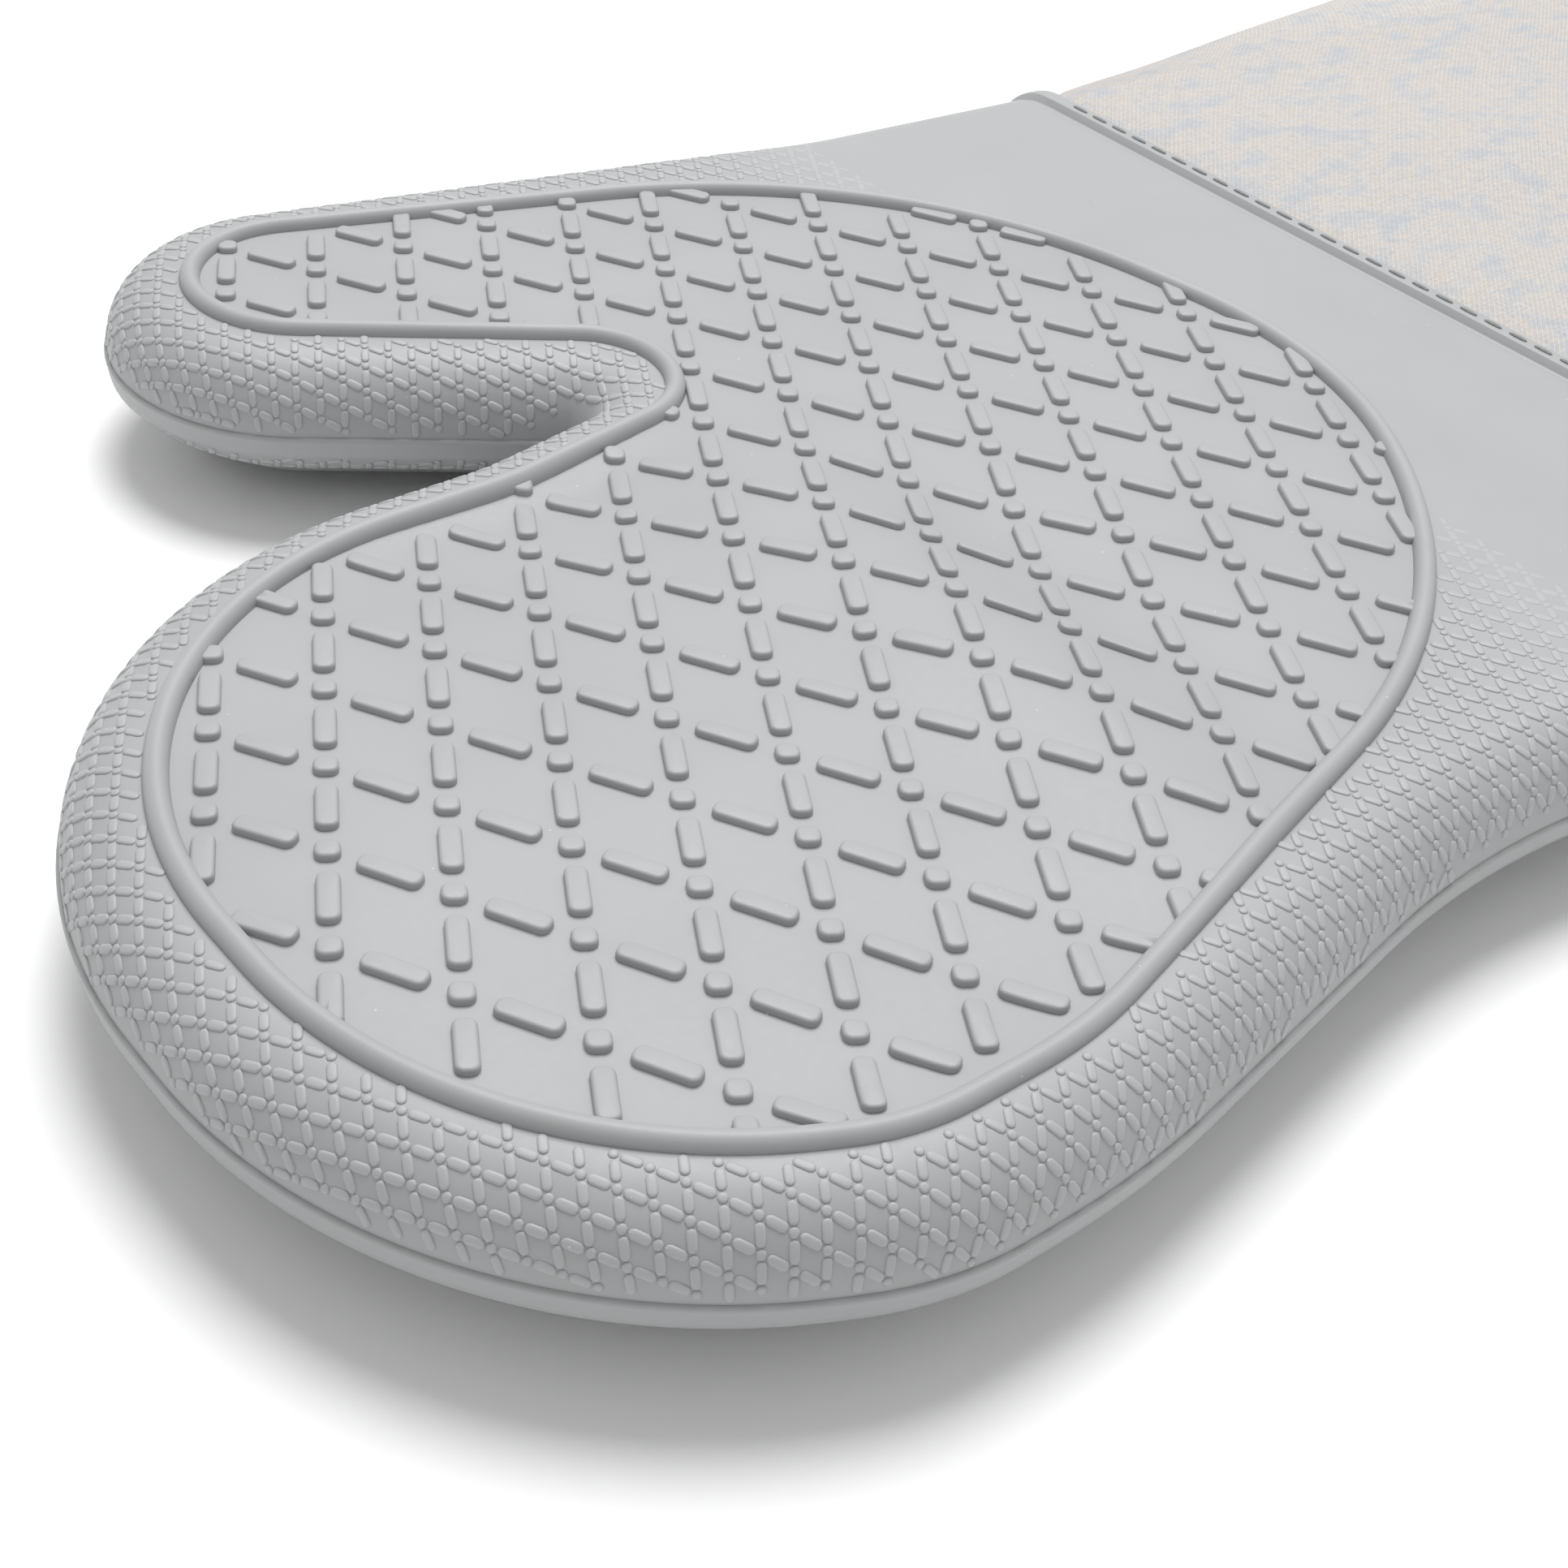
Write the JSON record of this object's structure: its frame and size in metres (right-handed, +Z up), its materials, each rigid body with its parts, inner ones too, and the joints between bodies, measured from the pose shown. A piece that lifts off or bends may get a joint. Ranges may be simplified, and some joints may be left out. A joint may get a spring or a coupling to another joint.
{
  "type": "oven mitt",
  "caption": "Moulded silicone oven mitt with raised grip pads, quilted cotton lining, fabric cuff and hanging loop; fingers, thumb and cuff bend.",
  "frame": {"origin": "middle of the whole mitt, on the surface that it lies on, palm face up", "axes": "+Y towards the fingertips, +X towards the thumb, +Z up out of the palm face"},
  "size_m": [0.1952, 0.349, 0.027],
  "materials": {
    "silicone": "satin",
    "wadding": "matt",
    "cotton_lining": "matt",
    "cuff_fabric": "matt melange",
    "binding_tape": "matt",
    "thread": "matt"
  },
  "bodies": {
    "palm": {"palm_shell_front": "silicone", "palm_shell_back": "silicone", "palm_batting_front": "wadding", "palm_batting_back": "wadding", "palm_lining_front": "cotton_lining", "palm_lining_back": "cotton_lining", "wrist_stitches": "thread"},
    "fingers": {"fingers_shell_front": "silicone", "fingers_shell_back": "silicone", "fingers_batting_front": "wadding", "fingers_batting_back": "wadding", "fingers_lining_front": "cotton_lining", "fingers_lining_back": "cotton_lining"},
    "thumb": {"thumb_shell_front": "silicone", "thumb_shell_back": "silicone", "thumb_batting_front": "wadding", "thumb_batting_back": "wadding", "thumb_lining_front": "cotton_lining", "thumb_lining_back": "cotton_lining"},
    "cuff": {"cuff_fabric_front": "cuff_fabric", "cuff_fabric_back": "cuff_fabric", "cuff_batting_front": "wadding", "cuff_batting_back": "wadding", "cuff_lining_front": "cotton_lining", "cuff_lining_back": "cotton_lining", "hem_binding": "binding_tape", "hem_stitches": "thread", "loop_tack": "thread"},
    "loop": {"hanging_loop": "binding_tape"}
  },
  "joints": [
    {"name": "fingers_bend", "type": "hinge", "parent": "palm", "child": "fingers", "pos_m": [0, 0.10245, 0.0235], "axis": [1, 0, 0], "range_deg": [-10, 50], "stiffness_Nm_per_rad": 0.25},
    {"name": "thumb_bend", "type": "hinge", "parent": "palm", "child": "thumb", "pos_m": [0.03952, 0.09687, 0.0235], "axis": [0.9212, -0.3891, 0], "range_deg": [-10, 45], "stiffness_Nm_per_rad": 0.15},
    {"name": "cuff_bend", "type": "hinge", "parent": "palm", "child": "cuff", "pos_m": [-0.0046, -0.02455, 0.0235], "axis": [-1, 0, 0], "range_deg": [-15, 40], "stiffness_Nm_per_rad": 0.15},
    {"name": "loop_swing", "type": "hinge", "parent": "cuff", "child": "loop", "pos_m": [0.0714, -0.13925, 0.0133], "axis": [-1, 0, 0], "range_deg": [-60, 80], "stiffness_Nm_per_rad": 0.004}
  ]
}
